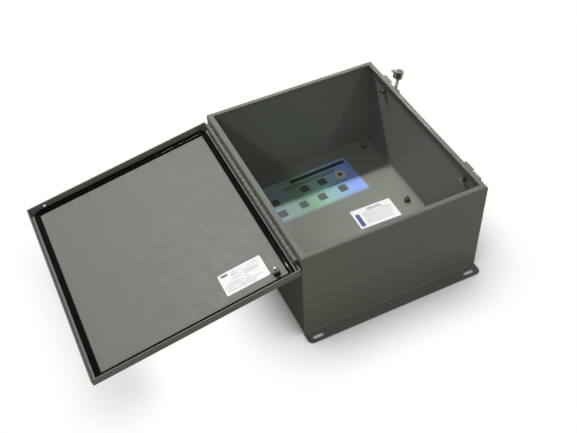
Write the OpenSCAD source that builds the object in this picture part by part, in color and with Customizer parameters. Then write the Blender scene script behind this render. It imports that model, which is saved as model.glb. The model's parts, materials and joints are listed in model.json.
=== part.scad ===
// Wall-mounted sheet-steel enclosure with a continuous hinge and two swing clamps.
// It lies on its back: +Z points out of the wall, +Y up the wall, +X to the clamp side.
// The origin is the centre of the back face. The door is drawn open.

/* [Body] */
// Outside width
body_w = 355.6; // [250:1:500]
// Outside height up the wall
body_h = 406.4; // [300:1:600]
// Outside depth from the wall to the rim
body_d = 203.2; // [120:1:300]
// Thickness of the steel sheet
sheet_t = 1.9; // [1.2:0.1:2.5]
// Width of the lip folded inwards at the rim
lip_w = 10; // [7:0.5:16]
// Outer radius of the rim bend
rim_bend_r = 3.5; // [3:0.5:6]
// Outer radius of the bend between side wall and back
back_bend_r = 8; // [4:0.5:14]

/* [Mounting flange] */
// How far the flange stands out of the end wall
flange_w = 23.6; // [18:0.2:40]
// Radius of the flange's free corners
flange_corner_r = 9; // [3:0.5:14]
// Inner radius of the bend at the flange's root
flange_bend_r = 2; // [1:0.5:4]
// Width of a mounting slot
slot_w = 8; // [5:0.5:12]
// Length of a mounting slot
slot_len = 24; // [14:1:40]
// Distance of a slot's centre from the side wall's outer face
slot_inset = 20.8; // [18:0.1:60]
// Distance of a slot's centre from the flange's free edge
slot_edge = 9.4; // [7:0.2:16]

/* [Door] */
// Opening angle from closed to the stop, as drawn
door_open = 190.6; // [0:0.1:190.6]
// Depth of the door pan, over its flanges
door_depth = 16.5; // [13:0.5:26]
// Outer radius of the pan's bends
door_bend_r = 3.5; // [3:0.5:6]
// Clearance between the pan and the end walls
door_gap_end = 1.4; // [0.6:0.1:4]
// Clearance between the pan and the clamp-side wall
door_gap_clamp = 8.5; // [3:0.1:8.5]
// Diameter of a paint-hanging hole in an end flange
hang_hole_d = 5; // [3:0.5:7]
// Distance of a hanging hole from the clamp-side face of the pan
hang_hole_inset = 32; // [20:1:80]

/* [Gasket] */
// Width of the gasket bead
gasket_w = 11; // [6:0.5:11]
// Distance of the bead's middle line inside the end walls' outer faces
gasket_end = 5.8; // [5.8:0.1:9]
// Distance of the bead's middle line from the door's side flanges
gasket_side = 10.2; // [7.2:0.1:13]
// Free height of the gasket bead
gasket_h = 4.4; // [3:0.1:8]
// Radius of the bead's upper edges
gasket_edge_r = 2.6; // [1:0.2:2.8]
// Radius of the bead's middle line at the corners
gasket_corner_r = 12; // [9:0.5:30]
// Room between the closed door's gasket and the rim
gasket_room = 0.3; // [0.2:0.1:1]

/* [Hinge] */
// Distance of the hinge's ends from the end walls' outer faces
hinge_end = 12.7; // [4:0.1:60]
// Length of one knuckle
knuckle_len = 12.7; // [8:0.1:30]
// Room between neighbouring knuckles
knuckle_room = 0.3; // [0.2:0.1:0.8]
// Diameter of the hinge pin
hinge_pin_d = 4; // [3:0.1:4.4]
// Radial running clearance of the hinge pin
hinge_pin_room = 0.05; // [0.02:0.01:0.1]
// Thickness of the hinge leaves
leaf_t = 1.5; // [1:0.1:1.8]
// Distance of the hinge axis from the wall's outer face
axis_out = 4.4; // [4.2:0.1:6]
// Depth of the hinge axis below the rim
axis_drop = 14.2; // [10:0.1:24]
// Width of the body leaf below the axis
body_leaf_w = 15; // [10:0.5:16]
// Width of the door leaf above the axis
door_leaf_w = 14; // [9:0.5:15]
// Room between the door leaf and the wall
door_leaf_room = 0.6; // [0.3:0.1:1]
// Room between the knuckles and the leaf edge across from them
leaf_edge_room = 0.5; // [0.3:0.1:1]

/* [Studs] */
// Distance of a panel stud from the side wall's outer face
panel_stud_side = 23.8; // [16:0.1:60]
// Distance of a panel stud from the end wall's outer face
panel_stud_end = 27.2; // [10:0.1:80]
// Diameter of the studs
stud_d = 6.3; // [4:0.1:10]
// Length of a panel stud above the back
panel_stud_len = 17; // [12:1:40]
// Diameter of the collar that carries the panel
collar_d = 10; // [8:0.5:16]
// Height of the collar
collar_h = 7; // [3:0.5:12]
// Length of a grounding stud
ground_stud_len = 16; // [12:1:30]
// Distance of the body's grounding stud from the clamp-side wall's outer face
body_ground_side = 25.8; // [18:0.1:120]
// Place of the body's grounding stud above the middle of the back
body_ground_y = -6; // [-100:1:100]
// Distance of the door's grounding stud from the hinge-side face of the pan
door_ground_inset = 34; // [26:1:80]
// Distance of the door's grounding stud from the lower face of the pan
door_ground_edge = 27; // [24:1:80]
// Height of the weld base of a stud
stud_base_h = 1.2; // [0.6:0.1:2]
// Chamfer at the free end of a stud
stud_chamfer = 0.8; // [0.4:0.1:1.2]
// Diameter of the grounding washer
washer_d = 13; // [12:0.5:20]
// Height of the grounding washer
washer_h = 1.2; // [0.8:0.1:2]
// Height of the grounding nut
ground_nut_h = 5; // [3:0.5:8]
// Width across flats of the grounding nut
ground_nut_af = 11; // [9:0.1:11.2]

/* [Clamps] */
// Distance of a clamp from the end wall's outer face
clamp_end = 62.2; // [24:0.1:120]
// Lean of the upper clamp, out of upright, as drawn
upper_lean = 9; // [9:1:180]
// Lean of the lower clamp, out of upright, as drawn
lower_lean = 180; // [9:1:180]
// Distance of the clamp pivot from the wall
pivot_out = 23.4; // [23.4:0.1:28]
// Depth of the clamp pivot below the rim
pivot_drop = 40; // [38:0.5:44]
// Depth of the mounting screw below the rim
mount_drop = 31; // [28:0.5:50]
// Thickness of the bracket's sheet
bracket_t = 2.4; // [1.6:0.1:3]
// Width over the bracket's ears
bracket_w = 18; // [15:0.5:30]
// Width of the bracket's base plate
base_w = 24; // [20:0.5:36]
// Length of the bracket's base plate below the pivot
bracket_tail = 6.5; // [6:0.5:16]
// Depth of the bracket's upper lip below the rim
bracket_top = 4; // [3:0.5:8]
// How far the bracket's upper lip stands out from the wall
bracket_lip = 6; // [4.5:0.1:6]
// Inner radius of the bend at the bracket's upper lip
bracket_bend_r = 1; // [0.5:0.1:2]
// Outer radius of the bracket's ears and of the bolt's eye
eye_r = 5; // [4.2:0.1:6]
// Side room of the eye between the ears
eye_room = 0.3; // [0.2:0.1:0.8]
// Diameter of the clamp's pivot pin
pivot_d = 4; // [3:0.1:5]
// Radial running clearance of the pivot pin
pivot_room = 0.05; // [0.02:0.01:0.1]
// Diameter of the pivot pin's heads
pivot_head_d = 6.6; // [5:0.1:9]
// Height of the pivot pin's heads
pivot_head_h = 1.2; // [0.6:0.1:2]
// Diameter of the swing bolt
swing_d = 6.3; // [5:0.1:8]
// Radial room of the hook on the swing bolt
hook_room = 0.06; // [0.02:0.01:0.1]
// Thickness of the hook's strip
hook_t = 2.6; // [2:0.1:3.2]
// Width of the hook's arm
hook_w = 6; // [4:0.5:10]
// Diameter of the hook's seat under the clamp nut
hook_seat_d = 16; // [12:0.5:17]
// Height of the hook's seat above the pivot
hook_seat = 30; // [26:0.5:32]
// Inner radius of the hook's bends
hook_bend_r = 1.4; // [1:0.1:1.6]
// Room between the clamp nut and the hook's riser
riser_room = 1.7; // [1.7:0.1:3]
// How far the hook reaches over the door's edge
hook_reach = 5.5; // [4:0.1:7]
// Room between the hook's nose and the closed door
hook_lift = 0.4; // [0.2:0.1:1]
// Height of the clamp nut
clamp_nut_h = 13; // [10:0.5:16]
// Width across flats of the clamp nut
clamp_nut_af = 15; // [12:0.5:15]
// Thickness of the clamp nut's closed end
clamp_nut_cap = 4; // [3.5:0.1:5]
// Room between the swing bolt's end and the clamp nut's closed end
bolt_end_room = 0.4; // [0.2:0.1:1]
// Width of the driver slots in the clamp nut
nut_slot_w = 2; // [1:0.1:3]
// Depth of the driver slots in the clamp nut
nut_slot_depth = 2.2; // [1:0.1:3]
// Diameter of the mounting screw
mount_d = 6.3; // [4:0.1:8]
// Diameter of the mounting screw's low head
mount_head_d = 12; // [9:0.5:14]
// Height of the mounting screw's low head
mount_head_h = 1.4; // [1:0.1:2]
// Length of the mounting screw that shows inside the nut
mount_tip = 2.5; // [1:0.5:6]
// Thickness of the sealing washer
seal_t = 1.5; // [1:0.1:3]
// Diameter of the sealing washer
seal_d = 13; // [10:0.5:18]
// Height of the inner nut
mount_nut_h = 5; // [3:0.5:8]
// Width across flats of the inner nut
mount_nut_af = 11; // [9:0.1:16]

/* [Hidden] */
$fn = 48;

paint = "#7f827c";
steel = "#b9bbb8";
black = "#151517";

// Overlap that lets cut-outs break cleanly through a face
cut = 1;
// Top of a low head, as a share of its foot
head_top = 0.7;
// End face of a nut, as a share of its width across flats
nut_face = 0.95;
// Walls and hinge
wall_x = body_w / 2;
wall_y = body_h / 2;
slot_x = wall_x - slot_inset;
clamp_y = wall_y - clamp_end;
axis_x = -wall_x - axis_out;
axis_z = body_d - axis_drop;
hinge_len = body_h - 2 * hinge_end;
knuckle_r = hinge_pin_d / 2 + hinge_pin_room + leaf_t;
knuckle_count = round(hinge_len / knuckle_len);
knuckle_pitch = hinge_len / knuckle_count;
leaf_edge = knuckle_r + leaf_edge_room;
// Closed door
door_in_z = body_d + gasket_h + gasket_room;
door_out_z = door_in_z + sheet_t;
door_x0 = -wall_x - door_leaf_room - leaf_t - sheet_t;
door_x1 = wall_x + door_gap_clamp + sheet_t;
door_y = wall_y + door_gap_end + sheet_t;
// Clamps, measured from their pivot with the bolt upright
pivot_x = wall_x + pivot_out;
pivot_z = body_d - pivot_drop;
mount_z = body_d - mount_drop;
eye_w = bracket_w - 2 * bracket_t - 2 * eye_room;
nose_z = door_out_z + hook_lift - pivot_z;
riser_x = -clamp_nut_af / 2 - riser_room;
hook_tip_x = door_x1 - hook_reach - pivot_x;
nut_z = hook_seat + hook_t;
bolt_len = nut_z + clamp_nut_h - clamp_nut_cap - bolt_end_room;
mount_nut_x = wall_x - sheet_t - seal_t - mount_nut_h;

// A quarter of a ring about the origin, in the quadrant that the signs pick
module quarter_ring(outer_r, t, sx, sy) {
    intersection() {
        difference() {
            circle(outer_r);
            circle(outer_r - t);
        }
        translate([sx < 0 ? -outer_r : 0, sy < 0 ? -outer_r : 0])
            square(outer_r);
    }
}

// Extrudes a profile drawn in the XZ plane along Y
module along_y(y0, y1) {
    translate([0, y1, 0])
        rotate([90, 0, 0])
            linear_extrude(y1 - y0)
                children();
}

// Extrudes a profile drawn in the YZ plane along X
module along_x(x0, x1) {
    translate([x0, 0, 0])
        rotate([90, 0, 90])
            linear_extrude(x1 - x0)
                children();
}

// A hexagonal nut blank standing on the XY plane, chamfered at both ends
module hexagon(af, h) {
    face_d = af * nut_face;
    wide_d = face_d + 2 * h / tan(30);
    intersection() {
        cylinder(d = af / cos(30), h = h, $fn = 6);
        cylinder(d1 = face_d, d2 = wide_d, h = h);
        cylinder(d1 = wide_d, d2 = face_d, h = h);
    }
}

// The prism over one end lip's share of the rim corner, cut along the mitre
module mitre_wedge(far) {
    translate([0, 0, body_d / 2])
        linear_extrude(body_d)
            polygon([[-wall_x, wall_y], [wall_x, wall_y], [wall_x - far, wall_y - far],
                     [-wall_x + far, wall_y - far]]);
}

// One side of the folded shell: half the back, a side wall and its lip
module shell_half_profile() {
    square([wall_x - back_bend_r, sheet_t]);
    translate([wall_x - back_bend_r, back_bend_r])
        quarter_ring(back_bend_r, sheet_t, 1, -1);
    translate([wall_x - sheet_t, back_bend_r])
        square([sheet_t, body_d - back_bend_r - rim_bend_r]);
    translate([wall_x - rim_bend_r, body_d - rim_bend_r])
        quarter_ring(rim_bend_r, sheet_t, 1, 1);
    translate([wall_x - lip_w, body_d - sheet_t])
        square([lip_w - rim_bend_r, sheet_t]);
}

module body_shell() {
    color(paint)
        difference() {
            along_y(-wall_y + sheet_t, wall_y - sheet_t) {
                shell_half_profile();
                mirror([1, 0])
                    shell_half_profile();
            }
            for (side = [0, 1])
                mirror([0, side, 0])
                    mitre_wedge(lip_w + cut);
            for (side = [-1, 1])
                translate([wall_x, side * clamp_y, mount_z])
                    rotate([0, 90, 0])
                        cylinder(d = mount_d, h = 4 * sheet_t, center = true);
        }
}

// Wall and lip of an end wall, as a profile in the YZ plane
module end_wall_profile() {
    translate([wall_y - sheet_t, 0])
        square([sheet_t, body_d - rim_bend_r]);
    translate([wall_y - rim_bend_r, body_d - rim_bend_r])
        quarter_ring(rim_bend_r, sheet_t, 1, 1);
    translate([wall_y - lip_w, body_d - sheet_t])
        square([lip_w - rim_bend_r, sheet_t]);
}

// Outline of the end wall, following the shell's bends
module end_wall_outline() {
    square_h = body_d - back_bend_r - rim_bend_r;
    translate([-wall_x, back_bend_r])
        square([body_w, square_h]);
    translate([-wall_x + back_bend_r, 0])
        square([body_w - 2 * back_bend_r, back_bend_r]);
    translate([-wall_x + rim_bend_r, back_bend_r + square_h])
        square([body_w - 2 * rim_bend_r, rim_bend_r]);
    for (side = [-1, 1]) {
        translate([side * (wall_x - back_bend_r), back_bend_r])
            circle(back_bend_r);
        translate([side * (wall_x - rim_bend_r), body_d - rim_bend_r])
            circle(rim_bend_r);
    }
}

// Wall flange with rounded free corners and one slot near each end
module mounting_flange() {
    edge_y = wall_y + flange_w;
    difference() {
        union() {
            translate([-wall_x, wall_y - sheet_t, 0])
                cube([body_w, flange_w + sheet_t - flange_corner_r, sheet_t]);
            translate([-wall_x + flange_corner_r, wall_y, 0])
                cube([body_w - 2 * flange_corner_r, flange_w, sheet_t]);
            for (side = [-1, 1])
                translate([side * (wall_x - flange_corner_r), edge_y - flange_corner_r, 0])
                    cylinder(r = flange_corner_r, h = sheet_t);
        }
        for (side = [-1, 1])
            translate([side * slot_x, edge_y - slot_edge, -cut])
                slot_cut(sheet_t + 2 * cut);
    }
}

// A slot with round ends that runs along X
module slot_cut(h) {
    straight = slot_len - slot_w;
    translate([-straight / 2, -slot_w / 2, 0])
        cube([straight, slot_w, h]);
    for (side = [-1, 1])
        translate([side * straight / 2, 0, 0])
            cylinder(d = slot_w, h = h);
}

// The concave fillet at the flange's root
module flange_root() {
    difference() {
        translate([-wall_x + back_bend_r, wall_y, sheet_t])
            cube([body_w - 2 * back_bend_r, flange_bend_r, flange_bend_r]);
        translate([0, wall_y + flange_bend_r, sheet_t + flange_bend_r])
            rotate([0, 90, 0])
                cylinder(r = flange_bend_r, h = body_w, center = true);
    }
}

// End wall at the +Y end
module end_wall() {
    color(paint) {
        intersection() {
            along_x(-wall_x, wall_x)
                end_wall_profile();
            along_y(0, wall_y)
                end_wall_outline();
            union() {
                mitre_wedge(lip_w + cut);
                translate([-wall_x, wall_y - sheet_t, 0])
                    cube([body_w, sheet_t, body_d]);
            }
        }
        mounting_flange();
        flange_root();
    }
}

module top_end_wall() {
    end_wall();
}

module bottom_end_wall() {
    mirror([0, 1, 0])
        end_wall();
}

// A stud welded on a face at z = 0, with a collar round its foot
module welded_stud(len, collar) {
    cylinder(d = collar_d, h = collar);
    cylinder(d = stud_d, h = len - stud_chamfer);
    translate([0, 0, len - stud_chamfer])
        cylinder(d1 = stud_d, d2 = stud_d - 2 * stud_chamfer, h = stud_chamfer);
}

module panel_studs() {
    color(steel)
        for (sx = [-1, 1], sy = [-1, 1])
            translate([sx * (wall_x - panel_stud_side), sy * (wall_y - panel_stud_end), sheet_t])
                welded_stud(panel_stud_len, collar_h);
}

// Washer and hex nut seated on a stud's weld base
module ground_nut() {
    difference() {
        union() {
            cylinder(d = washer_d, h = washer_h);
            translate([0, 0, washer_h])
                hexagon(ground_nut_af, ground_nut_h);
        }
        translate([0, 0, -cut])
            cylinder(d = stud_d, h = washer_h + ground_nut_h + 2 * cut);
    }
}

module body_ground_stud() {
    color(steel)
        translate([wall_x - body_ground_side, body_ground_y, sheet_t])
            welded_stud(ground_stud_len, stud_base_h);
}

module body_ground_nut() {
    color(steel)
        translate([wall_x - body_ground_side, body_ground_y, sheet_t + stud_base_h])
            ground_nut();
}

// Turns what is drawn closed to the drawn opening angle
module door_pose() {
    translate([axis_x, 0, axis_z])
        rotate([0, -door_open, 0])
            translate([-axis_x, 0, -axis_z])
                children();
}

// Outline of the pan's section between two faces, with rounded outer corners at the top
module pan_section(half_w, depth, r) {
    translate([-half_w, -depth])
        square([2 * half_w, depth - r]);
    translate([-half_w + r, -depth])
        square([2 * half_w - 2 * r, depth]);
    for (side = [-1, 1])
        translate([side * (half_w - r), -r])
            circle(r);
}

// A block with rounded upper edges along all four sides
module pan_block(inset, r) {
    mid_x = (door_x0 + door_x1) / 2;
    half_x = (door_x1 - door_x0) / 2 - inset;
    half_y = door_y - inset;
    top_z = door_out_z - inset;
    depth = door_depth - inset + (inset > 0 ? cut : 0);
    intersection() {
        translate([mid_x, 0, top_z])
            along_y(-half_y, half_y)
                pan_section(half_x, depth, r);
        translate([mid_x, 0, top_z])
            along_x(-half_x, half_x)
                pan_section(half_y, depth, r);
    }
}

module door_pan() {
    hole_z = door_out_z - door_depth / 2;
    color(paint)
        door_pose()
            difference() {
                pan_block(0, door_bend_r);
                pan_block(sheet_t, door_bend_r - sheet_t);
                for (side = [-1, 1])
                    translate([door_x1 - hang_hole_inset, side * door_y, hole_z])
                        rotate([90, 0, 0])
                            cylinder(d = hang_hole_d, h = 4 * sheet_t, center = true);
            }
}

// Section of the gasket bead, seated on z = 0 and rising to +Z
module gasket_section() {
    flat = gasket_w / 2 - gasket_edge_r;
    translate([-gasket_w / 2, 0])
        square([gasket_w, gasket_h - gasket_edge_r]);
    translate([-flat, 0])
        square([2 * flat, gasket_h]);
    for (side = [-1, 1])
        translate([side * flat, gasket_h - gasket_edge_r])
            circle(gasket_edge_r);
}

// The part of the bead's section that lies above its seat
module gasket_bead() {
    intersection() {
        gasket_section();
        translate([-gasket_w, 0])
            square([2 * gasket_w, gasket_h]);
    }
}

module door_gasket() {
    mid_x = (door_x1 - door_x0) / 2 - sheet_t - gasket_side;
    mid_y = wall_y - gasket_end;
    run_x = mid_x - gasket_corner_r;
    run_y = mid_y - gasket_corner_r;
    color(black)
        door_pose()
            translate([(door_x0 + door_x1) / 2, 0, door_in_z])
                mirror([0, 0, 1]) {
                    for (side = [-1, 1]) {
                        translate([side * mid_x, 0, 0])
                            along_y(-run_y, run_y)
                                gasket_bead();
                        translate([0, side * mid_y, 0])
                            along_x(-run_x, run_x)
                                gasket_bead();
                    }
                    for (sx = [-1, 1], sy = [-1, 1])
                        translate([sx * run_x, sy * run_y, 0])
                            rotate([0, 0, sx > 0 ? (sy > 0 ? 0 : 270) : (sy > 0 ? 90 : 180)])
                                rotate_extrude(angle = 90)
                                    translate([gasket_corner_r, 0])
                                        gasket_bead();
                }
}

module door_ground_place() {
    door_pose()
        translate([door_x0 + door_ground_inset, -door_y + door_ground_edge, door_in_z])
            mirror([0, 0, 1])
                children();
}

module door_ground_stud() {
    color(steel)
        door_ground_place()
            welded_stud(ground_stud_len, stud_base_h);
}

module door_ground_nut() {
    color(steel)
        door_ground_place()
            translate([0, 0, stud_base_h])
                ground_nut();
}

// Every second knuckle of the hinge about the Y axis, with the tab that ties it to its leaf
// Each tab lies at tab_x from the axis and reaches along Z to tab_z
module knuckles(first, tab_x, tab_z) {
    half = knuckle_pitch / 2 - knuckle_room / 2;
    difference() {
        union()
            for (i = [first : 2 : knuckle_count - 1])
                translate([0, -hinge_len / 2 + (i + 0.5) * knuckle_pitch, 0]) {
                    rotate([90, 0, 0])
                        cylinder(r = knuckle_r, h = 2 * half, center = true);
                    translate([tab_x, -half, min(0, tab_z)])
                        cube([leaf_t, 2 * half, abs(tab_z)]);
                }
        rotate([90, 0, 0])
            cylinder(r = hinge_pin_d / 2 + hinge_pin_room, h = hinge_len + 2 * cut, center = true);
    }
}

module body_hinge_leaf() {
    color(paint)
        translate([axis_x, 0, axis_z]) {
            translate([axis_out - leaf_t, -hinge_len / 2, -body_leaf_w])
                cube([leaf_t, hinge_len, body_leaf_w - leaf_edge]);
            knuckles(0, axis_out - leaf_t, -leaf_edge - cut);
        }
}

module door_hinge_leaf() {
    leaf_x = axis_out - door_leaf_room - leaf_t;
    color(paint)
        door_pose()
            translate([axis_x, 0, axis_z]) {
                translate([leaf_x, -hinge_len / 2, leaf_edge])
                    cube([leaf_t, hinge_len, door_leaf_w - leaf_edge]);
                knuckles(1, leaf_x, leaf_edge + cut);
            }
}

module hinge_pin() {
    color(steel)
        translate([axis_x, 0, axis_z])
            rotate([90, 0, 0])
                cylinder(d = hinge_pin_d, h = hinge_len, center = true);
}

// The bracket's base plate from the side, with its upper edge bent outwards
module base_profile() {
    outer_r = bracket_t + bracket_bend_r;
    low_z = pivot_z - bracket_tail;
    top_z = body_d - bracket_top;
    translate([0, low_z])
        square([bracket_t, top_z - outer_r - low_z]);
    translate([outer_r, top_z - outer_r])
        quarter_ring(outer_r, bracket_t, -1, 1);
    translate([outer_r, top_z - bracket_t])
        square([bracket_lip - outer_r, bracket_t]);
}

// Bracket on the clamp-side wall: a base plate with two ears that carry the pivot pin
module clamp_bracket(y) {
    color(paint)
        translate([wall_x, y, 0])
            difference() {
                union() {
                    along_y(-base_w / 2, base_w / 2)
                        base_profile();
                    for (side = [-1, 1])
                        translate([0, side * (bracket_w - bracket_t) / 2, 0])
                            along_y(-bracket_t / 2, bracket_t / 2) {
                                translate([0, pivot_z - eye_r])
                                    square([pivot_out, 2 * eye_r]);
                                translate([pivot_out, pivot_z])
                                    circle(eye_r);
                            }
                }
                translate([pivot_out, 0, pivot_z])
                    rotate([90, 0, 0])
                        cylinder(d = pivot_d, h = 2 * bracket_w, center = true);
                translate([0, 0, mount_z])
                    rotate([0, 90, 0])
                        cylinder(d = mount_d, h = 4 * bracket_t, center = true);
            }
}

// Low-headed screw that holds the bracket through the wall
module mount_screw(y) {
    tip_x = mount_nut_x - mount_tip;
    color(steel)
        translate([0, y, mount_z])
            rotate([0, 90, 0]) {
                translate([0, 0, tip_x])
                    cylinder(d = mount_d, h = wall_x + bracket_t - tip_x);
                translate([0, 0, wall_x + bracket_t])
                    cylinder(d1 = mount_head_d, d2 = mount_head_d * head_top, h = mount_head_h);
            }
}

module seal_washer(y) {
    color(black)
        translate([wall_x - sheet_t - seal_t, y, mount_z])
            rotate([0, 90, 0])
                difference() {
                    cylinder(d = seal_d, h = seal_t);
                    translate([0, 0, -cut])
                        cylinder(d = mount_d, h = seal_t + 2 * cut);
                }
}

module mount_nut(y) {
    color(steel)
        translate([mount_nut_x, y, mount_z])
            rotate([0, 90, 0])
                difference() {
                    hexagon(mount_nut_af, mount_nut_h);
                    translate([0, 0, -cut])
                        cylinder(d = mount_d, h = mount_nut_h + 2 * cut);
                }
}

module pivot_pin(y) {
    color(steel)
        translate([pivot_x, y, pivot_z])
            rotate([90, 0, 0]) {
                cylinder(d = pivot_d, h = bracket_w, center = true);
                for (side = [0, 1])
                    mirror([0, 0, side])
                        translate([0, 0, bracket_w / 2])
                            cylinder(d1 = pivot_head_d, d2 = pivot_head_d * head_top, h = pivot_head_h);
            }
}

// Places what is drawn about the pivot, with the bolt upright, at its lean
module clamp_pose(y, lean) {
    translate([pivot_x, y, pivot_z])
        rotate([0, lean, 0])
            children();
}

module swing_bolt(y, lean) {
    color(steel)
        clamp_pose(y, lean)
            difference() {
                union() {
                    rotate([90, 0, 0])
                        cylinder(r = eye_r, h = eye_w, center = true);
                    cylinder(d = swing_d, h = bolt_len);
                }
                rotate([90, 0, 0])
                    cylinder(r = pivot_d / 2 + pivot_room, h = bracket_w, center = true);
            }
}

// The hook's arm from the side: out of its seat, up past the door's flange and in over the door
module hook_profile() {
    outer_r = hook_bend_r + hook_t;
    foot_x = riser_x + hook_bend_r;
    foot_z = nut_z + hook_bend_r;
    head_x = riser_x - hook_t - hook_bend_r;
    head_z = nose_z - hook_bend_r;
    translate([foot_x, hook_seat])
        square([-foot_x, hook_t]);
    translate([foot_x, foot_z])
        quarter_ring(outer_r, hook_t, -1, -1);
    translate([riser_x - hook_t, foot_z])
        square([hook_t, head_z - foot_z]);
    translate([head_x, head_z])
        quarter_ring(outer_r, hook_t, 1, 1);
    translate([hook_tip_x, nose_z])
        square([head_x - hook_tip_x, hook_t]);
}

// Clamp hook: a round seat under the nut and a bent arm that reaches over the door's edge
module clamp_hook(y, lean) {
    color(steel)
        clamp_pose(y, lean)
            difference() {
                union() {
                    along_y(-hook_w / 2, hook_w / 2)
                        hook_profile();
                    translate([0, 0, hook_seat])
                        cylinder(d = hook_seat_d, h = hook_t);
                }
                translate([0, 0, hook_seat - cut])
                    cylinder(d = swing_d + 2 * hook_room, h = hook_t + 2 * cut);
            }
}

// Closed hex nut with crossed driver slots in its top, a flat of it towards the hook's riser
module clamp_nut(y, lean) {
    color(steel)
        clamp_pose(y, lean)
            translate([0, 0, nut_z])
                difference() {
                    rotate([0, 0, 30])
                        hexagon(clamp_nut_af, clamp_nut_h);
                    translate([0, 0, -cut])
                        cylinder(d = swing_d + 2 * hook_room, h = clamp_nut_h - clamp_nut_cap + cut);
                    for (turn = [0, 90])
                        rotate([0, 0, turn])
                            translate([-clamp_nut_af, -nut_slot_w / 2, clamp_nut_h - nut_slot_depth])
                                cube([2 * clamp_nut_af, nut_slot_w, nut_slot_depth + cut]);
                }
}

body_shell();
top_end_wall();
bottom_end_wall();
panel_studs();
body_ground_stud();
body_ground_nut();
body_hinge_leaf();
hinge_pin();
door_pan();
door_hinge_leaf();
door_gasket();
door_ground_stud();
door_ground_nut();
clamp_bracket(clamp_y);  // upper_clamp_bracket
mount_screw(clamp_y);  // upper_mount_screw
seal_washer(clamp_y);  // upper_seal_washer
mount_nut(clamp_y);  // upper_mount_nut
pivot_pin(clamp_y);  // upper_pivot_pin
swing_bolt(clamp_y, upper_lean);  // upper_swing_bolt
clamp_hook(clamp_y, upper_lean);  // upper_clamp_hook
clamp_nut(clamp_y, upper_lean);  // upper_clamp_nut
clamp_bracket(-clamp_y);  // lower_clamp_bracket
mount_screw(-clamp_y);  // lower_mount_screw
seal_washer(-clamp_y);  // lower_seal_washer
mount_nut(-clamp_y);  // lower_mount_nut
pivot_pin(-clamp_y);  // lower_pivot_pin
swing_bolt(-clamp_y, lower_lean);  // lower_swing_bolt
clamp_hook(-clamp_y, lower_lean);  // lower_clamp_hook
clamp_nut(-clamp_y, lower_lean);  // lower_clamp_nut
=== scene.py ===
"""Looks of a wall-mounted sheet-steel enclosure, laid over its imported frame.

Units are metres. +Z points out of the wall, +Y up the wall, +X to the clamp side.
The door is open at rest.
"""

import json
import math

import bmesh
import bpy
from mathutils import Matrix, Vector


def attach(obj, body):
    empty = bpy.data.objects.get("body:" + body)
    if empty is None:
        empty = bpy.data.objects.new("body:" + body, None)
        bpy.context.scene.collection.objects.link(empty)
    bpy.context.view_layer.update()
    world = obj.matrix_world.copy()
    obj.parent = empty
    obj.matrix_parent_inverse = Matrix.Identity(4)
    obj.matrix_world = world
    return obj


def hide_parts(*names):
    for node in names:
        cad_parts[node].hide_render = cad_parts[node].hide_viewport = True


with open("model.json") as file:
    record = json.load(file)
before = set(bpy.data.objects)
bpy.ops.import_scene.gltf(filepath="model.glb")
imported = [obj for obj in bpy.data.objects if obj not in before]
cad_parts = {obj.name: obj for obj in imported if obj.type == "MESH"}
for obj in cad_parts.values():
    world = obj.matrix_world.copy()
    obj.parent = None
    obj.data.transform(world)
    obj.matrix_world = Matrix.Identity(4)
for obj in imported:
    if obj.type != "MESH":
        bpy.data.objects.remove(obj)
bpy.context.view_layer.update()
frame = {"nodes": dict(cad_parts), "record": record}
MM = 0.001
RIGHT_ANGLE = math.radians(90)

# Body and door
WALL_X = 177.8 * MM
WALL_Y = 203.2 * MM
SHEET_T = 1.9 * MM
HINGE_LEN = 381 * MM
KNUCKLE_PITCH = 12.7 * MM
HINGE_AXIS = Vector((-182.2 * MM, 0, 189.0 * MM))
DOOR_OPEN = math.radians(190.6)
DOOR_IN_Z = 207.9 * MM
DOOR_X0 = -181.8 * MM
DOOR_X1 = 188.2 * MM
DOOR_Y = 206.5 * MM

# Gasket bead: its place from the walls and the door's flange, its section and its slight swell
GASKET_END = 5.8 * MM
GASKET_SIDE = 10.2 * MM
GASKET_CORNER = 6.5 * MM
GASKET_W = 11 * MM
GASKET_H = 4.4 * MM
GASKET_EDGE = 2.6 * MM
GASKET_STEP = 1.2 * MM
SWELL_HEIGHT = 0.5 * MM
SWELL_SCALE = 30.0
SWELL_CREST = 0.75

# Studs, with a coarse quarter-inch thread
STUD_R = 3.15 * MM
THREAD_DEPTH = 0.5 * MM
THREAD_PITCH = 1.27 * MM
STUD_CHAMFER = 0.8 * MM
COLLAR_R = 5 * MM
COLLAR_H = 7 * MM
COLLAR_CHAMFER = 0.4 * MM
STUD_BASE_H = 1.2 * MM
PANEL_STUD_LEN = 17 * MM
PANEL_STUD_X = 154 * MM
PANEL_STUD_Y = 176 * MM
GROUND_STUD_LEN = 16 * MM
BODY_GROUND = Vector((152 * MM, -6 * MM, SHEET_T))
DOOR_GROUND = Vector((DOOR_X0 + 34 * MM, -DOOR_Y + 27 * MM, DOOR_IN_Z))

# Clamps
CLAMP_Y = 141 * MM
PIVOT_X = 201.2 * MM
PIVOT_Z = 163.2 * MM
PIVOT_HOLE_R = 2.05 * MM
EYE_R = 5 * MM
EYE_W = 12.6 * MM
EYE_CHAMFER = 0.5 * MM
SWING_LEN = 41.2 * MM
SHANK_FOOT = 4 * MM
SHANK_BARE = 1.5 * MM
CLAMP_LEANS = {"upper": math.radians(9), "lower": math.radians(180)}
CLAMP_SIDES = {"upper": 1, "lower": -1}
MOUNT_Z = 172.2 * MM
SEAL_R = 6.5 * MM
SEAL_T = 1.5 * MM
SEAL_BULGE = 0.3 * MM
SEAL_SHOULDER = 0.4 * MM

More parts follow.
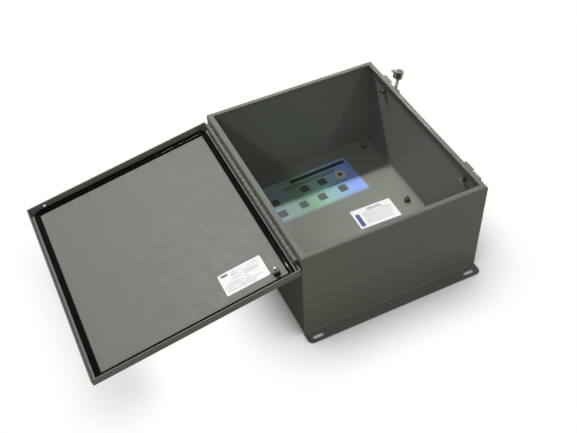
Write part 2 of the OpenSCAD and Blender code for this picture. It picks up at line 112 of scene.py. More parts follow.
# Stuck-on labels and the printed card
FILM_T = 0.15 * MM
INK_LIFT = 0.04 * MM
CUT_CORNER = 1.0 * MM
DOOR_LABEL_SIZE = (79 * MM, 46.5 * MM)
DOOR_LABEL_CORNER = 2.5 * MM
DOOR_LABEL_MARGIN = 5 * MM
DOOR_LABEL_PLACE = Vector((DOOR_X0 + 82.5 * MM, -151.8 * MM, DOOR_IN_Z))
BACK_LABEL_SIZE = (89.4 * MM, 52 * MM)
BACK_LABEL_MARGIN = 20 * MM
BACK_LABEL_PLACE = Vector((78.8 * MM, -6.3 * MM, SHEET_T))
BACK_LABEL_TURN = math.radians(-1.1)
CARD_SIZE = (200 * MM, 106 * MM)
CARD_PLACE = Vector((2.6 * MM, 111.5 * MM, SHEET_T))
CARD_TURN = math.radians(2.4)
CARD_SQUARE = 18 * MM
CARD_SQUARES_MM = ((-17.5, 10.5), (23.7, 10.8), (-89, 4), (-89, -30), (-40, -28), (3.2, -27.5), (52, -27))
CARD_FIELD = (
    (0.0, (0.35, 0.42, 0.5)),
    (0.35, (0.25, 0.42, 0.25)),
    (0.6, (0.33, 0.55, 0.5)),
    (0.9, (0.3, 0.42, 0.85)),
)

# Paint
COAT_DARK = (0.208, 0.211, 0.18)
COAT_LIGHT = (0.216, 0.219, 0.187)
# Painted shade for the gaps between the hinge's knuckles
KNUCKLE_GAP_SHADE = (0.075, 0.075, 0.066, 1)

# View
IMAGE_W = 577
SENSOR_W = 36
FOCAL_PX = 847.4
CAMERA_PLACE = Vector((-0.5445, -0.9973, 1.2319))
CAMERA_FORWARD = Vector((0.2753, 0.6289, -0.7271))
CAMERA_RIGHT = Vector((0.9002, -0.4340, -0.0346))

# Floor and backdrop
AMBIENT = (0.116, 0.138, 0.152)
BACKDROP = (1.0, 1.0, 1.0)
FLOOR_TONE = 0.3
FLOOR_SIZE = 12
FLOOR_DROP = 0.5 * MM
FULL_SHADE = 0.4
VIEW_REACH, VIEW_GLOW = 0.12, 1.0
GLOSS_REACH, GLOSS_GLOW = 0.5, 0.9

# Lamps: place, aim, size, power, colour and beam angle in degrees
BOX_MIDDLE = (0.0, 0.0, 0.1)
STRIP = (0.3, 0.1)
SMALL = (0.12, 0.12)
FRONT_TINT = (0.94, 1.0, 0.97)
WIDE = 180
LAMPS = {
    "back_left_lamp": ((-0.45, 1.12, 2.2), BOX_MIDDLE, STRIP, 41, (0.98, 1.0, 1.0), WIDE),
    "inside_lamp": ((0.14, 1.12, 2.2), (0.12, -0.05, 0.0), STRIP, 0.14, (0.94, 0.97, 1.0), 10),
    "corner_lamp": ((-0.8, -1.2, 2.2), (0.15, 0.13, 0.0), STRIP, 0.016, (0.94, 0.98, 1.0), 7),
    "front_left_lamp": ((-1.63, -2.4, 2.2), BOX_MIDDLE, SMALL, 12.5, FRONT_TINT, WIDE),
    "front_right_lamp": ((1.08, -2.6, 2.2), BOX_MIDDLE, SMALL, 9.5, FRONT_TINT, WIDE),
    "low_front_lamp": ((-0.9, -2.0, 0.15), (0.0, -0.2, 0.1), (0.5, 0.15), 2.2, (1.0, 0.8, 0.4), WIDE),
}


def feed(tree, made, inputs):
    """Gives a node's inputs their values or links."""
    for key, value in inputs.items():
        if isinstance(value, bpy.types.NodeSocket):
            tree.links.new(value, made.inputs[key])
        else:
            made.inputs[key].default_value = value


def node(tree, kind, inputs=None, **settings):
    """A new node of that kind, with settings, and values or links for its inputs."""
    made = tree.nodes.new(kind)
    for key, value in settings.items():
        setattr(made, key, value)
    feed(tree, made, inputs or {})
    return made


def noise(tree, place, scale, detail=2.0):
    """The height of a noise that is read at a place."""
    inputs = {"Vector": place, "Scale": scale, "Detail": detail}
    return node(tree, "ShaderNodeTexNoise", inputs).outputs["Fac"]


def maths(tree, operation, a, b=0.0):
    """The result of a sum on sockets or numbers."""
    return node(tree, "ShaderNodeMath", {0: a, 1: b}, operation=operation).outputs["Value"]


def between(tree, fac, low, high, start=0.0, end=1.0):
    """Maps fac from start..end to low..high."""
    inputs = {"Value": fac, "From Min": start, "From Max": end, "To Min": low, "To Max": high}
    return node(tree, "ShaderNodeMapRange", inputs).outputs["Result"]


def along_axis(tree, place, axis):
    """One coordinate of a place."""
    return node(tree, "ShaderNodeSeparateXYZ", {"Vector": place}).outputs[axis]


def ramp(tree, fac, stops):
    """A colour ramp with (position, colour) stops."""
    made = node(tree, "ShaderNodeValToRGB", {"Fac": fac})
    elements = made.color_ramp.elements
    while len(elements) < len(stops):
        elements.new(0.5)
    for element, (position, colour) in zip(elements, stops):
        element.position = position
        element.color = (*colour, 1)
    return made.outputs["Color"]


def new_finish(name):
    """An empty material with its tree, shader and object coordinates."""
    made = bpy.data.materials.new(name)
    made.use_nodes = True
    tree = made.node_tree
    shader = tree.nodes["Principled BSDF"]
    place = node(tree, "ShaderNodeTexCoord").outputs["Object"]
    return made, tree, shader, place


def bump(tree, height, distance, strength, normal=None):
    """A bump of that real height."""
    inputs = {"Height": height, "Distance": distance, "Strength": strength}
    if normal:
        inputs["Normal"] = normal
    return node(tree, "ShaderNodeBump", inputs).outputs["Normal"]


def softened_edge(tree, radius):
    """A normal that rounds the edges of folded and cut metal."""
    return node(tree, "ShaderNodeBevel", {"Radius": radius}, samples=6).outputs["Normal"]


def knuckle_gap_shade(tree, place, colour):
    """The colour, darkened by painted shade in the gaps between the hinge's knuckles."""
    from_end = maths(tree, "ADD", along_axis(tree, place, "Y"), HINGE_LEN / 2)
    turn = maths(tree, "FRACT", maths(tree, "DIVIDE", from_end, KNUCKLE_PITCH))
    from_middle = maths(tree, "ABSOLUTE", maths(tree, "SUBTRACT", turn, 0.5))
    # Painted shade: a dark band at each gap between the knuckles
    gap_shade = between(tree, from_middle, 0, 1, start=0.43, end=0.48)
    mixed = node(tree, "ShaderNodeMix", {"Factor": gap_shade, 6: colour, 7: KNUCKLE_GAP_SHADE}, data_type="RGBA")
    return mixed.outputs[2]


def powder_coat(name, gap_shaded=False):
    """Satin grey powder coat with a fine orange peel, and painted shade at the gaps between the hinge's
    knuckles.
    """
    finish, tree, shader, place = new_finish(name)
    colour = ramp(tree, noise(tree, place, scale=9, detail=3), [(0.3, COAT_DARK), (0.7, COAT_LIGHT)])
    sheen = noise(tree, place, scale=45, detail=4)
    peel = noise(tree, place, scale=420)
    edge = softened_edge(tree, 0.7 * MM)
    inputs = {
        "Base Color": knuckle_gap_shade(tree, place, colour) if gap_shaded else colour,
        "Roughness": between(tree, sheen, 0.44, 0.54, start=0.3, end=0.7),
        "Normal": bump(tree, peel, distance=0.06 * MM, strength=0.22, normal=edge),
        "Specular IOR Level": 0.18,
    }
    feed(tree, shader, inputs)
    return finish


def zinc_plate(name, dark, light, smooth, rough):
    """Zinc plate with a faint cloudiness."""
    finish, tree, shader, place = new_finish(name)
    cloud = noise(tree, place, scale=160, detail=3)
    grain = noise(tree, place, scale=900)
    edge = softened_edge(tree, 0.25 * MM)
    inputs = {
        "Base Color": ramp(tree, cloud, [(0.3, dark), (0.7, light)]),
        "Roughness": between(tree, cloud, smooth, rough, start=0.3, end=0.7),
        "Normal": bump(tree, grain, distance=0.02 * MM, strength=0.2, normal=edge),
        "Metallic": 1.0,
    }
    feed(tree, shader, inputs)
    return finish


def foam_skin():
    """Black foam with a shiny cast skin."""
    finish, tree, shader, place = new_finish("foam_skin")
    pores = noise(tree, place, scale=650)
    sheen = noise(tree, place, scale=70, detail=3)
    stops = [(0.3, (0.0012, 0.0012, 0.0012)), (0.75, (0.0025, 0.0025, 0.0025))]
    inputs = {
        "Base Color": ramp(tree, pores, stops),
        "Roughness": between(tree, sheen, 0.06, 0.1, start=0.3, end=0.7),
        "Normal": bump(tree, pores, distance=0.02 * MM, strength=0.08),
        "Specular IOR Level": 0.055,
    }
    feed(tree, shader, inputs)
    return finish


def seal_rubber():
    """Matt black rubber of the sealing washers."""
    finish, tree, shader, place = new_finish("seal_rubber")
    grain = noise(tree, place, scale=1400)
    stops = [(0.3, (0.014, 0.014, 0.014)), (0.7, (0.028, 0.028, 0.027))]
    inputs = {
        "Base Color": ramp(tree, grain, stops),
        "Roughness": between(tree, grain, 0.5, 0.68),
        "Normal": bump(tree, grain, distance=0.03 * MM, strength=0.3),
    }
    feed(tree, shader, inputs)
    return finish


def label_film(name, dark, light):
    """White printed film with a faint cloud and gloss."""
    finish, tree, shader, place = new_finish(name)
    cloud = noise(tree, place, scale=60, detail=4)
    grain = noise(tree, place, scale=500)
    inputs = {
        "Base Color": ramp(tree, cloud, [(0.25, dark), (0.75, light)]),
        "Roughness": between(tree, cloud, 0.32, 0.45, start=0.3, end=0.7),
        "Normal": bump(tree, grain, distance=0.02 * MM, strength=0.15),
    }
    feed(tree, shader, inputs)
    return finish


def ink(name, colour):
    """Printed ink with slight unevenness."""
    finish, tree, shader, place = new_finish(name)
    wear = noise(tree, place, scale=700, detail=3)
    paler = tuple(min(1, c * 1.35 + 0.02) for c in colour)
    inputs = {
        "Base Color": ramp(tree, wear, [(0.35, colour), (0.8, paler)]),
        "Roughness": between(tree, wear, 0.4, 0.55),
    }
    feed(tree, shader, inputs)
    return finish


def card_print():
    """The card's field of colour, from grey through green to blue along its length."""
    finish, tree, shader, place = new_finish("card_print")
    centring = {"Vector": place, "Location": CARD_PLACE, "Rotation": (0, 0, CARD_TURN)}
    centred = node(tree, "ShaderNodeMapping", centring, vector_type="TEXTURE").outputs["Vector"]
    half = CARD_SIZE[0] / 2
    along = between(tree, along_axis(tree, centred, "X"), 0, 1, start=-half, end=half)
    sheen = noise(tree, place, scale=90, detail=3)
    inputs = {
        "Base Color": ramp(tree, along, CARD_FIELD),
        "Roughness": between(tree, sheen, 0.25, 0.4),
    }
    feed(tree, shader, inputs)
    return finish


POWDER_COAT = powder_coat("powder_coat")
# The hinge's coat carries painted shade in its knuckle gaps
HINGE_COAT = powder_coat("hinge_coat", gap_shaded=True)
# One zinc plate in three tones: the dull and darkest copies are darkened as painted shade and dark
# reflections, dull on the studs and the nuts inside the wall, darkest on the grounding nuts
BRIGHT_ZINC = zinc_plate("bright_zinc", (0.27, 0.25, 0.21), (0.46, 0.43, 0.38), 0.16, 0.3)
DULL_ZINC = zinc_plate("dull_zinc", (0.15, 0.143, 0.125), (0.25, 0.24, 0.215), 0.4, 0.56)
DARKEST_ZINC = zinc_plate("aged_zinc", (0.05, 0.048, 0.042), (0.085, 0.082, 0.074), 0.4, 0.56)
FOAM_SKIN = foam_skin()
SEAL_RUBBER = seal_rubber()
# One white label film in two tones: the door label's is darkened as painted shade, the back label's made
# a little brighter as painted light
DOOR_FILM_SHADED = label_film("door_film", (0.70, 0.695, 0.68), (0.76, 0.755, 0.74))
BACK_FILM_LIT = label_film("back_film", (0.84, 0.84, 0.83), (0.89, 0.89, 0.88))
CARD_PRINT = card_print()
INK_BLACK = ink("ink_black", (0.02, 0.02, 0.022))
INK_GREY = ink("ink_grey", (0.30, 0.30, 0.30))
INK_BLUE = ink("ink_blue", (0.06, 0.06, 0.22))
INK_SOFT = ink("ink_soft", (0.06, 0.075, 0.07))
INK_PALE = ink("ink_pale", (0.60, 0.55, 0.50))


def new_tree(name, lengths):
    """A Geometry Nodes tree with named lengths, a finish and one mesh out."""
    tree = bpy.data.node_groups.new(name, "GeometryNodeTree")
    for length in lengths:
        tree.interface.new_socket(name=length, in_out="INPUT", socket_type="NodeSocketFloat")
    tree.interface.new_socket(name="Finish", in_out="INPUT", socket_type="NodeSocketMaterial")
    tree.interface.new_socket(name="Mesh", in_out="OUTPUT", socket_type="NodeSocketGeometry")
    return tree, node(tree, "NodeGroupInput").outputs


def geometry(tree, kind, inputs, **settings):
    """What a geometry node of that kind gives first."""
    return node(tree, f"GeometryNode{kind}", inputs, **settings).outputs[0]


def vector(tree, **axes):
    """A vector from the axes that are given."""
    return node(tree, "ShaderNodeCombineXYZ", axes).outputs["Vector"]


def end_tree(tree, given, shape, smooth=True):
    """Ends a tree in plain geometry with its finish."""
    plain = geometry(tree, "RealizeInstances", {"Geometry": shape})
    shaded = geometry(tree, "SetShadeSmooth", {"Geometry": plain, "Shade Smooth": smooth})
    coated = geometry(tree, "SetMaterial", {"Geometry": shaded, "Material": given["Finish"]})
    node(tree, "NodeGroupOutput", {"Mesh": coated})


def rounded_rectangle(tree, width, height, corner, steps):
    """A rectangle with rounded corners, as a curve."""
    sharp = geometry(tree, "CurvePrimitiveQuadrilateral", {"Width": width, "Height": height})
    return geometry(tree, "FilletCurve", {"Curve": sharp, "Radius": corner, "Count": steps}, mode="POLY")


def bead_tree():
    """A rounded bead that follows a rectangle with rounded corners."""
    lengths = ["Length", "Height", "Corner", "Bead Width", "Bead Height", "Edge"]
    tree, given = new_tree("bead_round_the_door", lengths)
    path = rounded_rectangle(tree, given["Length"], given["Height"], given["Corner"], 14)
    path = geometry(tree, "ResampleCurve", {"Curve": path, "Length": GASKET_STEP}, mode="LENGTH")
    path = geometry(tree, "SetCurveNormal", {"Curve": path}, mode="Z_UP")
    tall = maths(tree, "MULTIPLY", given["Bead Height"], 2)
    section = rounded_rectangle(tree, given["Bead Width"], tall, given["Edge"], 8)
    swept = geometry(tree, "CurveToMesh", {"Curve": path, "Profile Curve": section})
    place = node(tree, "GeometryNodeInputPosition").outputs["Position"]
    swell = maths(tree, "SUBTRACT", noise(tree, place, SWELL_SCALE), SWELL_CREST)
    rise = maths(tree, "MULTIPLY", swell, SWELL_HEIGHT)
    share = maths(tree, "DIVIDE", along_axis(tree, place, "Z"), given["Bead Height"])
    offset = vector(tree, Z=maths(tree, "MULTIPLY", rise, share))
    swept = geometry(tree, "SetPosition", {"Geometry": swept, "Offset": offset})
    end_tree(tree, given, swept)
    return tree


def thread_tree():
    """The helical ridge of a thread round the Z axis."""
    tree, given = new_tree("helical_ridge", ["Core Radius", "Depth", "Pitch", "Start", "Run"])
    winding = {
        "Resolution": 24,
        "Rotations": maths(tree, "DIVIDE", given["Run"], given["Pitch"]),
        "Start Radius": given["Core Radius"],
        "End Radius": given["Core Radius"],
        "Height": given["Run"],
    }
    helix = geometry(tree, "CurveSpiral", winding)
    helix = geometry(tree, "SetCurveNormal", {"Curve": helix}, mode="Z_UP")
    section = geometry(tree, "CurvePrimitiveCircle", {"Resolution": 4, "Radius": given["Depth"]})
    ridge = geometry(tree, "CurveToMesh", {"Curve": helix, "Profile Curve": section, "Fill Caps": True})
    foot = vector(tree, Z=given["Start"])
    ridge = geometry(tree, "Transform", {"Geometry": ridge, "Translation": foot})
    end_tree(tree, given, ridge, smooth=False)
    return tree


def print_tree():
    """Rows of printed bars, each starting at the left edge and ending where its seed says."""
    lengths = ["Rows", "Row Pitch", "Bar Height", "Ink Height", "Shortest", "Longest", "Seed"]
    tree, given = new_tree("printed_rows", lengths)
    step = vector(tree, Y=maths(tree, "MULTIPLY", given["Row Pitch"], -1))
    rows = geometry(tree, "MeshLine", {"Count": given["Rows"], "Offset": step})
    bar = geometry(tree, "MeshCube", {"Size": (1, 1, 1)})
    bar = geometry(tree, "Transform", {"Geometry": bar, "Translation": (0.5, 0, 0.5)})
    limits = {"Min": given["Shortest"], "Max": given["Longest"], "Seed": given["Seed"]}
    length = node(tree, "FunctionNodeRandomValue", limits, data_type="FLOAT").outputs["Value"]
    size = vector(tree, X=length, Y=given["Bar Height"], Z=given["Ink Height"])
    bars = geometry(tree, "InstanceOnPoints", {"Points": rows, "Instance": bar, "Scale": size})
    end_tree(tree, given, bars, smooth=False)
    return tree


def grown(tree, finish, **values):
    """The plain mesh that a tree gives for these lengths."""
    holder = bpy.data.objects.new(tree.name, bpy.data.meshes.new(tree.name))
    bpy.context.scene.collection.objects.link(holder)
    modifier = holder.modifiers.new("grow", "NODES")
    modifier.node_group = tree
    for socket in tree.interface.items_tree:
        if socket.in_out == "INPUT":
            key = socket.name.lower().replace(" ", "_")
            modifier[socket.identifier] = finish if key == "finish" else float(values[key])
    evaluated = holder.evaluated_get(bpy.context.evaluated_depsgraph_get())
    made = bpy.data.meshes.new_from_object(evaluated)
    bpy.data.objects.remove(holder)
    made.materials.clear()
    made.materials.append(finish)
    return made


def mesh_of(shape, name, finish):
    """A mesh with one finish from a bmesh shape, which is freed."""
    made = bpy.data.meshes.new(name)
    bmesh.ops.recalc_face_normals(shape, faces=shape.faces)
    shape.to_mesh(made)
    shape.free()
    made.materials.append(finish)
    return made


def turned(profile, finish, segments=48):
    """A mesh turned about Z from closed (radius, height) points."""
    shape = bmesh.new()
    rings = []
    for step in range(segments):
        angle = 2 * math.pi * step / segments
        across, along = math.cos(angle), math.sin(angle)
        rings.append([shape.verts.new((r * across, r * along, z)) for r, z in profile])
    for near, far in zip(rings, rings[1:] + rings[:1]):
        for i in range(len(profile)):
            j = (i + 1) % len(profile)
            shape.faces.new((near[i], far[i], far[j], near[j]))
    bmesh.ops.remove_doubles(shape, verts=shape.verts, dist=1e-7)
    return mesh_of(shape, "turned", finish)


def plate(size, thickness, corner, finish, steps=6):
    """A thin plate with rounded corners that lies on z = 0."""
    outline = []
    for sx, sy, first in ((1, 1, 0), (-1, 1, 90), (-1, -1, 180), (1, -1, 270)):
        centre_x = sx * (size[0] / 2 - corner)
        centre_y = sy * (size[1] / 2 - corner)
        for step in range(steps + 1):
            angle = math.radians(first + 90 * step / steps)
            outline.append((centre_x + corner * math.cos(angle), centre_y + corner * math.sin(angle)))
    shape = bmesh.new()
    foot = shape.faces.new([shape.verts.new((x, y, 0)) for x, y in outline])
    raised = bmesh.ops.extrude_face_region(shape, geom=[foot])["geom"]
    upper = [vert for vert in raised if isinstance(vert, bmesh.types.BMVert)]
    bmesh.ops.translate(shape, verts=upper, vec=(0, 0, thickness))
    return mesh_of(shape, "plate", finish)


def piece(name, body, parts, stands_for=()):
    """One finished piece from (mesh, place) parts, which rides on a body."""
    shape = bmesh.new()
    finishes = []
    for mesh, place in parts:
        part = bmesh.new()
        part.from_mesh(mesh)
        part.transform(place)
        if place.determinant() < 0:
            bmesh.ops.reverse_faces(part, faces=part.faces)
        finish = mesh.materials[0]
        if finish not in finishes:
            finishes.append(finish)
        for face in part.faces:
            face.material_index = finishes.index(finish)
        joined = bpy.data.meshes.new("joined")
        part.to_mesh(joined)
        part.free()
        shape.from_mesh(joined)
        bpy.data.meshes.remove(joined)
    made = bpy.data.meshes.new(name)
    shape.to_mesh(made)
    shape.free()
    for finish in finishes:
        made.materials.append(finish)
    thing = bpy.data.objects.new(name, made)
    bpy.context.scene.collection.objects.link(thing)
    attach(thing, body)
    if stands_for:
        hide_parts(*stands_for)


def about(point, turn):
    """The turn, made about a point."""
    return Matrix.Translation(point) @ turn @ Matrix.Translation(-point)


DOOR_POSE = about(HINGE_AXIS, Matrix.Rotation(-DOOR_OPEN, 4, "Y"))
INWARD = Matrix.Diagonal((1, 1, -1, 1))
BEAD_TREE = bead_tree()
THREAD_TREE = thread_tree()
PRINT_TREE = print_tree()


def door_gasket():
    """The bead on the door's inner face, cut flat and closed at its foot."""
    bead = grown(
        BEAD_TREE,
        FOAM_SKIN,
        length=DOOR_X1 - DOOR_X0 - 2 * (SHEET_T + GASKET_SIDE),
        height=2 * (WALL_Y - GASKET_END),
        corner=GASKET_CORNER,
        bead_width=GASKET_W,
        bead_height=GASKET_H,
        edge=GASKET_EDGE,
    )
    shape = bmesh.new()
    shape.from_mesh(bead)
    whole = shape.verts[:] + shape.edges[:] + shape.faces[:]
    bmesh.ops.bisect_plane(shape, geom=whole, plane_co=(0, 0, 0), plane_no=(0, 0, 1), clear_inner=True)
    bmesh.ops.bridge_loops(shape, edges=[edge for edge in shape.edges if edge.is_boundary])
    bmesh.ops.recalc_face_normals(shape, faces=shape.faces)
    shape.to_mesh(bead)
    shape.free()
    place = DOOR_POSE @ Matrix.Translation(((DOOR_X0 + DOOR_X1) / 2, 0, DOOR_IN_Z)) @ INWARD
    piece("gasket_bead", "door", [(bead, place)], ["door_gasket"])


def rod(length, start, finish):
    """The core and the thread of a rod of the studs' diameter, bare up to where its thread starts."""
    core_r = STUD_R - THREAD_DEPTH
    tip_r = core_r - STUD_CHAMFER / 2
    straight = length - STUD_CHAMFER
    core = turned([(0, 0), (core_r, 0), (core_r, straight), (tip_r, length), (0, length)], finish, 28)
    ridge = grown(
        THREAD_TREE,
        finish,
        core_radius=core_r,
        depth=THREAD_DEPTH,
        pitch=THREAD_PITCH,
        start=start + THREAD_PITCH / 2,
        run=straight - start - THREAD_PITCH,
    )
    return [core, ridge]


def collar(height):
    """A turned collar with a small chamfer on its upper edge."""
    shoulder = height - COLLAR_CHAMFER
    top_r = COLLAR_R - COLLAR_CHAMFER
    return turned([(0, 0), (COLLAR_R, 0), (COLLAR_R, shoulder), (top_r, height), (0, height)], DULL_ZINC)


def studs():
    """The panel studs and the two grounding studs."""
    panel_stud = [*rod(PANEL_STUD_LEN, COLLAR_H, DULL_ZINC), collar(COLLAR_H)]
    parts = []
    for sx in (-1, 1):
        for sy in (-1, 1):
            place = Matrix.Translation((sx * PANEL_STUD_X, sy * PANEL_STUD_Y, SHEET_T))
            parts += [(mesh, place) for mesh in panel_stud]
    piece("panel_stud_set", "enclosure", parts, ["panel_studs"])
    ground_stud = [*rod(GROUND_STUD_LEN, STUD_BASE_H, DULL_ZINC), collar(STUD_BASE_H)]
    on_body = Matrix.Translation(BODY_GROUND)
    on_door = DOOR_POSE @ Matrix.Translation(DOOR_GROUND) @ INWARD
    for side, body, place in (("body", "enclosure", on_body), ("door", "door", on_door)):
        parts = [(mesh, place) for mesh in ground_stud]
        piece(f"{side}_ground_thread", body, parts, [f"{side}_ground_stud"])


def swing_bolts():
    """Each clamp's eye bolt, threaded above its eye."""
    half = EYE_W / 2
    face_r = EYE_R - EYE_CHAMFER
    shoulder = half - EYE_CHAMFER
    upper_half = [(EYE_R, shoulder), (face_r, half), (PIVOT_HOLE_R, half)]
    lower_half = [(PIVOT_HOLE_R, -half), (face_r, -half), (EYE_R, -shoulder)]
    eye = turned(lower_half + upper_half, BRIGHT_ZINC)
    across = Matrix.Rotation(RIGHT_ANGLE, 4, "X")
    shank = rod(SWING_LEN - SHANK_FOOT, SHANK_BARE, BRIGHT_ZINC)
    for side, sign in CLAMP_SIDES.items():
        lean = Matrix.Rotation(CLAMP_LEANS[side], 4, "Y")
        pose = Matrix.Translation((PIVOT_X, sign * CLAMP_Y, PIVOT_Z)) @ lean
        raised = pose @ Matrix.Translation((0, 0, SHANK_FOOT))
        parts = [(eye, pose @ across)] + [(mesh, raised) for mesh in shank]
        piece(f"{side}_eye_bolt", f"{side}_clamp", parts, [f"{side}_swing_bolt"])


def seal_washers():
    """The soft washers under the inner nuts, bulged by the clamping."""
    face_r = SEAL_R - SEAL_BULGE
    foot = [(STUD_R, 0), (face_r, 0), (SEAL_R, SEAL_SHOULDER)]
    top = [(SEAL_R, SEAL_T - SEAL_SHOULDER), (face_r, SEAL_T), (STUD_R, SEAL_T)]
    ring = turned(foot + top, SEAL_RUBBER)
    sideways = Matrix.Rotation(RIGHT_ANGLE, 4, "Y")
    for side, sign in CLAMP_SIDES.items():
        place = Matrix.Translation((WALL_X - SHEET_T - SEAL_T, sign * CLAMP_Y, MOUNT_Z)) @ sideways
        piece(f"{side}_wall_seal", "enclosure", [(ring, place)], [f"{side}_seal_washer"])


def printed(place, finish, corner, rows, pitch, bar, lengths, seed):
    """Rows of bars of random lengths, whose first row starts at a corner."""
    mesh = grown(
        PRINT_TREE,
        finish,
        rows=rows,
        row_pitch=pitch,
        bar_height=bar,
        ink_height=INK_LIFT,
        shortest=lengths[0],
        longest=lengths[1],
        seed=seed,
    )
    return mesh, place @ Matrix.Translation((*corner, FILM_T))


def block(place, finish, centre, size, rounding=0.06, layer=0):
    """A plain printed shape, its corners rounded by a share of its shorter side."""
    mesh = plate(size, INK_LIFT, min(size) * rounding, finish, 8)
    return mesh, place @ Matrix.Translation((*centre, FILM_T + layer * INK_LIFT))


def door_label():
    """The rating label inside the door, with its print as plain bars."""
    place = DOOR_POSE @ Matrix.Translation(DOOR_LABEL_PLACE) @ Matrix.Rotation(math.pi, 4, "Y")
    left = -DOOR_LABEL_SIZE[0] / 2 + DOOR_LABEL_MARGIN
    top = DOOR_LABEL_SIZE[1] / 2
    first_row = top - 6 * MM
    rows = {"rows": 4, "pitch": 4.6 * MM, "bar": 1.1 * MM}
    short, long = (30 * MM, 50 * MM), (40 * MM, 66 * MM)
    parts = [
        (plate(DOOR_LABEL_SIZE, FILM_T, DOOR_LABEL_CORNER, DOOR_FILM_SHADED), place),
        block(place, INK_BLACK, (left + 6 * MM, first_row), (12 * MM, 4.5 * MM)),
        printed(place, INK_GREY, (left + 16 * MM, first_row), lengths=short, seed=3, **rows),
        printed(place, INK_GREY, (left, top - 26 * MM), lengths=long, seed=8, **rows),
    ]
    piece("door_rating_label", "door", parts)


def back_label():
    """The notice on the back wall, with its print as plain bars."""
    place = Matrix.Translation(BACK_LABEL_PLACE) @ Matrix.Rotation(BACK_LABEL_TURN, 4, "Z")
    edge = -BACK_LABEL_SIZE[0] / 2
    left = edge + BACK_LABEL_MARGIN
    top = BACK_LABEL_SIZE[1] / 2
    heading = {"rows": 2, "pitch": 4 * MM, "bar": 1.5 * MM, "lengths": (28 * MM, 38 * MM)}
    rows = {"rows": 9, "pitch": 3.6 * MM, "bar": 0.9 * MM, "lengths": (52 * MM, 64 * MM)}
    parts = [
        (plate(BACK_LABEL_SIZE, FILM_T, CUT_CORNER, BACK_FILM_LIT), place),
        block(place, INK_BLUE, (edge + 9 * MM, -4 * MM), (9 * MM, 34 * MM)),
        printed(place, INK_BLACK, (left + 14 * MM, top - 6 * MM), seed=2, **heading),
        printed(place, INK_GREY, (left, top - 15 * MM), seed=5, **rows),
    ]
    piece("back_notice_label", "enclosure", parts)


def colour_card():
    """The printed card on the back wall, with plain squares, a round spot and bars."""
    place = Matrix.Translation(CARD_PLACE) @ Matrix.Rotation(CARD_TURN, 4, "Z")
    edge_start = Matrix.Translation((-96 * MM, -52 * MM, 0))
    along_edge = place @ edge_start @ Matrix.Rotation(RIGHT_ANGLE, 4, "Z")
    heading = {"rows": 2, "pitch": 5 * MM, "bar": 2 * MM, "lengths": (116 * MM, 127 * MM)}
    ticks = {"rows": 33, "pitch": 6 * MM, "bar": 2 * MM, "lengths": (3 * MM, 3 * MM)}
    parts = [(plate(CARD_SIZE, FILM_T, CUT_CORNER, CARD_PRINT), place)]
    for x, y in CARD_SQUARES_MM:
        parts.append(block(place, INK_SOFT, (x * MM, y * MM), (CARD_SQUARE, CARD_SQUARE)))
    parts += [
        block(place, INK_PALE, (67.6 * MM, 11 * MM), (25 * MM, 25 * MM), rounding=0.5),
        block(place, INK_SOFT, (67 * MM, 11.5 * MM), (9 * MM, 9 * MM), layer=1),
        block(place, INK_BLACK, (29.5 * MM, 42 * MM), (129 * MM, 9 * MM)),
        block(place, INK_BLACK, (49 * MM, -9.5 * MM), (46 * MM, 2 * MM)),
        printed(place, INK_BLACK, (-57 * MM, 31 * MM), seed=4, **heading),
        printed(along_edge, INK_SOFT, (0, 0), seed=1, **ticks),
    ]
    piece("colour_card", "enclosure", parts)


FINISHES = {"paint": POWDER_COAT, "plated_steel": BRIGHT_ZINC, "gasket_rubber": SEAL_RUBBER}
OWN_FINISHES = {
    "body_hinge_leaf": HINGE_COAT,
    "door_hinge_leaf": HINGE_COAT,
    # Painted shade: darkened zinc copies on the grounding nuts and the nuts inside the wall
    "body_ground_nut": DARKEST_ZINC,
    "door_ground_nut": DARKEST_ZINC,
    "upper_mount_nut": DULL_ZINC,
    "lower_mount_nut": DULL_ZINC,
}


def coat_frame():
    """Gives every CAD node its finish."""
    for part in frame["record"]["subparts"]:
        mesh = frame["nodes"][part["node"]].data
        mesh.materials.clear()
        mesh.materials.append(OWN_FINISHES.get(part["node"], FINISHES[part["material_slot"]]))


def seen_in_view(tree):
    """1 for camera rays, 0 for the rest."""
    return node(tree, "ShaderNodeLightPath").outputs["Is Camera Ray"]


def seen_in_gloss(tree):
    """1 for glossy and transmission rays, 0 for the rest."""
    path = node(tree, "ShaderNodeLightPath").outputs
    return maths(tree, "MAXIMUM", path["Is Glossy Ray"], path["Is Transmission Ray"])


def open_share(tree, reach, most):
    """How open the floor is to the sky within a reach, from 0 in full shade up to the most."""
    sky = node(tree, "ShaderNodeAmbientOcclusion", {"Distance": reach}, samples=8).outputs["AO"]
    return between(tree, sky, 0.0, most, start=FULL_SHADE)


def backdrop():
    """A white surround for the camera and in reflections, and a dim one that lights the part."""
    world = bpy.data.worlds.new("studio")
    bpy.context.scene.world = world
    world.use_nodes = True
    tree = world.node_tree
    seen = maths(tree, "MAXIMUM", seen_in_view(tree), seen_in_gloss(tree))
    colour = ramp(tree, seen, [(0.0, AMBIENT), (1.0, BACKDROP)])
    feed(tree, tree.nodes["Background"], {"Color": colour})


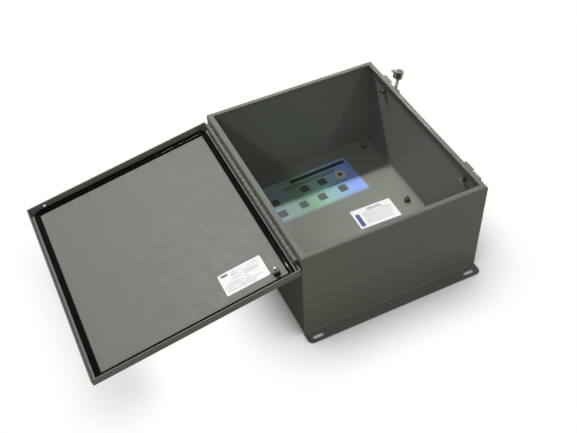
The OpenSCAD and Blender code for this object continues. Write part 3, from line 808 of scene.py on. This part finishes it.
def floor_paper():
    """Pale paper that is white to the camera where nothing stands over it."""
    finish = bpy.data.materials.new("floor_paper")
    finish.use_nodes = True
    tree = finish.node_tree
    tree.nodes.clear()
    tone = (FLOOR_TONE, FLOOR_TONE, FLOOR_TONE, 1)
    paper = node(tree, "ShaderNodeBsdfDiffuse", {"Color": tone}).outputs["BSDF"]
    white = {"Color": (1, 1, 1, 1), "Strength": 1.0}
    glow = node(tree, "ShaderNodeEmission", white).outputs["Emission"]
    in_view = maths(tree, "MULTIPLY", seen_in_view(tree), open_share(tree, VIEW_REACH, VIEW_GLOW))
    in_gloss = maths(tree, "MULTIPLY", seen_in_gloss(tree), open_share(tree, GLOSS_REACH, GLOSS_GLOW))
    share = maths(tree, "ADD", in_view, in_gloss)
    mixed = node(tree, "ShaderNodeMixShader", {0: share, 1: paper, 2: glow}).outputs["Shader"]
    node(tree, "ShaderNodeOutputMaterial", {"Surface": mixed})
    return finish


def lay_floor():
    """The floor, just under the part."""
    bpy.ops.mesh.primitive_plane_add(size=FLOOR_SIZE, location=(0, 0, -FLOOR_DROP))
    floor = bpy.context.object
    floor.name = "floor"
    floor.data.materials.append(floor_paper())


def hang_lamps():
    """The soft lamps of the studio."""
    for name, (place, aim, size, power, colour, beam) in LAMPS.items():
        light = bpy.data.lights.new(name, "AREA")
        light.shape = "RECTANGLE"
        light.size, light.size_y = size
        light.energy = power
        light.color = colour
        light.spread = math.radians(beam)
        lamp = bpy.data.objects.new(name, light)
        lamp.location = place
        beam_axis = Vector(aim) - Vector(place)
        lamp.rotation_euler = beam_axis.to_track_quat("-Z", "Y").to_euler()
        bpy.context.scene.collection.objects.link(lamp)


def set_camera():
    """The camera of the photograph."""
    lens = bpy.data.cameras.new("photo_camera")
    lens.sensor_width = SENSOR_W
    lens.lens = FOCAL_PX / IMAGE_W * SENSOR_W
    camera = bpy.data.objects.new("photo_camera", lens)
    back = -CAMERA_FORWARD.normalized()
    right = CAMERA_RIGHT.normalized()
    turn = Matrix((right, back.cross(right), back)).transposed().to_4x4()
    camera.matrix_world = Matrix.Translation(CAMERA_PLACE) @ turn
    bpy.context.scene.collection.objects.link(camera)
    bpy.context.scene.camera = camera


coat_frame()
door_gasket()
studs()
swing_bolts()
seal_washers()
door_label()
back_label()
colour_card()
bpy.context.scene.view_settings.view_transform = "Standard"
backdrop()
lay_floor()
hang_lamps()
set_camera()
